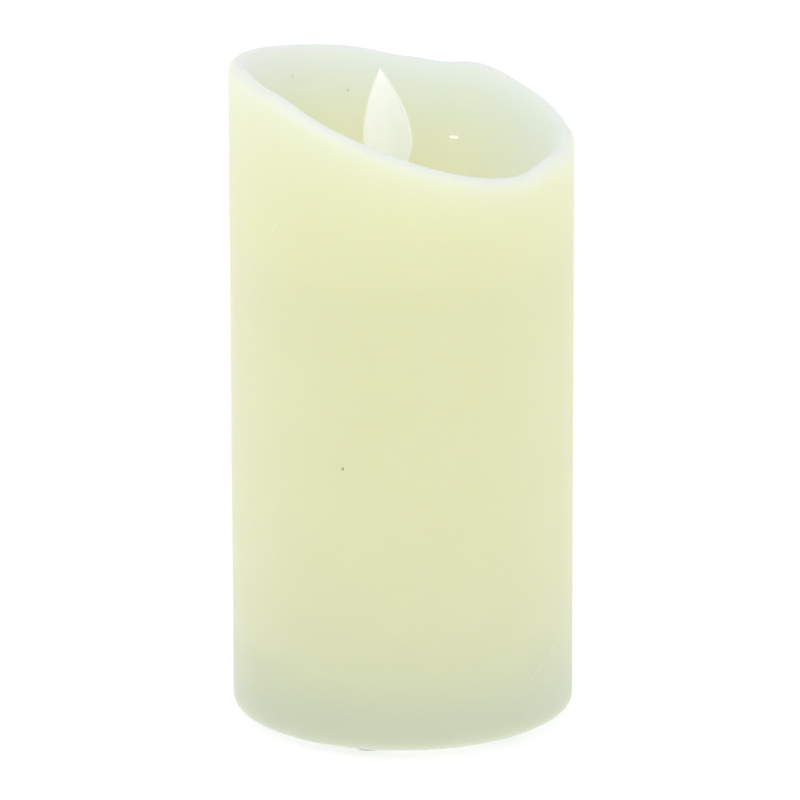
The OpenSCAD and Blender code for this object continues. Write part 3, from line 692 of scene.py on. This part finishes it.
def make_cell(number, facing):
    """An AA cell in three pieces; its profile heights run from the nub's tip along the cell."""
    place = Matrix.Translation(Vector((facing * CELL_TIP_X, -facing * CELL_SIDE, CELL_Z)) * MM)
    place = place @ Matrix.Rotation(-facing * math.pi / 2, 4, "Y")
    node = f"battery_cell_{number}"
    sleeve = [(6.1, 1.15), (6.6, 1.0), (7.05, 1.15), (CELL_R, 1.6)]
    sleeve += [(CELL_R - 0.03 * (i % 2), 1.6 + 1.5 * i) for i in range(1, CELL_LOOPS + 1)]
    sleeve += [(CELL_R, 49.9), (7.05, 50.3), (6.6, 50.4), (6.1, 50.25), (6.1, 49.8), (6.1, 1.6)]
    cap = [
        (0, 0), (2.3, 0), (2.55, 0.12), (2.6, 0.35), (2.6, 1.0), (2.9, 1.15), (4.6, 1.15), (4.8, 1.3),
        (6.05, 1.3), (6.05, 2.2), (0, 2.2),
    ]
    base = [
        (0, 49.3), (6.05, 49.3), (6.05, 50.15), (5.3, 50.2), (5.0, CELL_LEN), (1.6, CELL_LEN),
        (1.4, 50.4), (0, 50.4),
    ]
    for name, profile, ring, slot in (
        ("sleeve", sleeve, True, "cell_wrap"),
        ("cap", cap, False, "contact_plate"),
        ("base", base, False, "contact_plate"),
    ):
        vertices, faces = lathe(profile, place, 56, ring)
        add_piece(f"{node}_{name}", vertices, faces, slot, "root", [node])


def make_coil():
    """The drive coil's outer layer of turns, as one closed ring of ridges."""
    low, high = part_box("coil_winding")
    bottom, top = low.z / MM, high.z / MM
    outer, inner = high.x / MM, high.x / MM - COIL_DEPTH
    steps = COIL_TURNS * TURN_STEPS
    profile = []
    for i in range(steps + 1):
        swell = abs(math.sin(math.pi * i / TURN_STEPS))
        profile.append((outer - TURN_SWELL + TURN_SWELL * swell, bottom + (top - bottom) * i / steps))
    profile += [(inner, top), (inner, bottom)]
    vertices, faces = lathe(profile, Matrix.Identity(4), 64, True)
    add_piece("coil_turns", vertices, faces, "copper_wire", "root", ["coil_winding"])


make_cell(1, 1)
make_cell(2, -1)
make_coil()

# ---------------------------------------------------------------- studio

FLOOR_HALF = 80.0
FLOOR_GLOW = 0.7
SKY_LIGHT, SKY_SEEN = 0.79, 1.1
SOFTBOX_COLOR = (0.95, 0.965, 1.1)
SOFTBOX_REACH = 1.1
SOFTBOX_AIM_Z = 0.08


def make_floor():
    """A pale floor that is clear when seen from below."""
    material, shader = new_material("floor", (0.4, 0.4, 0.4), 0.9)
    shader.inputs["Emission Color"].default_value = (1, 1, 1, 1)
    shader.inputs["Emission Strength"].default_value = FLOOR_GLOW
    tree = material.node_tree
    clear = tree.nodes.new("ShaderNodeBsdfTransparent")
    mix = tree.nodes.new("ShaderNodeMixShader")
    side = tree.nodes.new("ShaderNodeNewGeometry")
    tree.links.new(side.outputs["Backfacing"], mix.inputs[0])
    tree.links.new(shader.outputs[0], mix.inputs[1])
    tree.links.new(clear.outputs[0], mix.inputs[2])
    tree.links.new(mix.outputs[0], tree.nodes["Material Output"].inputs[0])
    corners = [(x * FLOOR_HALF, y * FLOOR_HALF, 0) for x, y in ((-1, -1), (1, -1), (1, 1), (-1, 1))]
    mesh = bpy.data.meshes.new("floor")
    mesh.from_pydata(corners, [], [(0, 1, 2, 3)])
    mesh.materials.append(material)
    floor = bpy.data.objects.new("floor", mesh)
    scene.collection.objects.link(floor)


def add_softbox(name, direction, height, size, power):
    """A soft cool light in a direction in degrees and at a height in metres, turned to the candle."""
    data = bpy.data.lights.new(name, "AREA")
    data.shape = "RECTANGLE"
    data.size, data.size_y = size
    data.energy = power
    data.color = SOFTBOX_COLOR
    light = bpy.data.objects.new(name, data)
    scene.collection.objects.link(light)
    angle = math.radians(direction)
    light.location = (SOFTBOX_REACH * math.cos(angle), SOFTBOX_REACH * math.sin(angle), height)
    aim = Vector((0, 0, SOFTBOX_AIM_Z)) - Vector(light.location)
    light.rotation_euler = aim.to_track_quat("-Z", "Y").to_euler()


def make_studio():
    world = bpy.data.worlds.new("studio")
    scene.world = world
    world.use_nodes = True
    sky = world.node_tree.nodes["Background"]
    sky.inputs[0].default_value = (1, 1, 1, 1)
    # The sky lights the candle softly, and beyond the floor's far edge it looks as white as the floor
    seen = world.node_tree.nodes.new("ShaderNodeLightPath")
    strength = world.node_tree.nodes.new("ShaderNodeMapRange")
    strength.inputs["To Min"].default_value = SKY_LIGHT
    strength.inputs["To Max"].default_value = SKY_SEEN
    world.node_tree.links.new(seen.outputs["Is Camera Ray"], strength.inputs["Value"])
    world.node_tree.links.new(strength.outputs["Result"], sky.inputs[1])
    add_softbox("left_softbox", -138, 0.5, (0.8, 0.9), 1.1)
    add_softbox("right_softbox", -52, 0.5, (0.8, 0.9), 1.6)
    add_softbox("top_softbox", -172, 1.5, (0.9, 0.9), 3.6)


make_floor()
make_studio()
scene.view_settings.view_transform = "Standard"
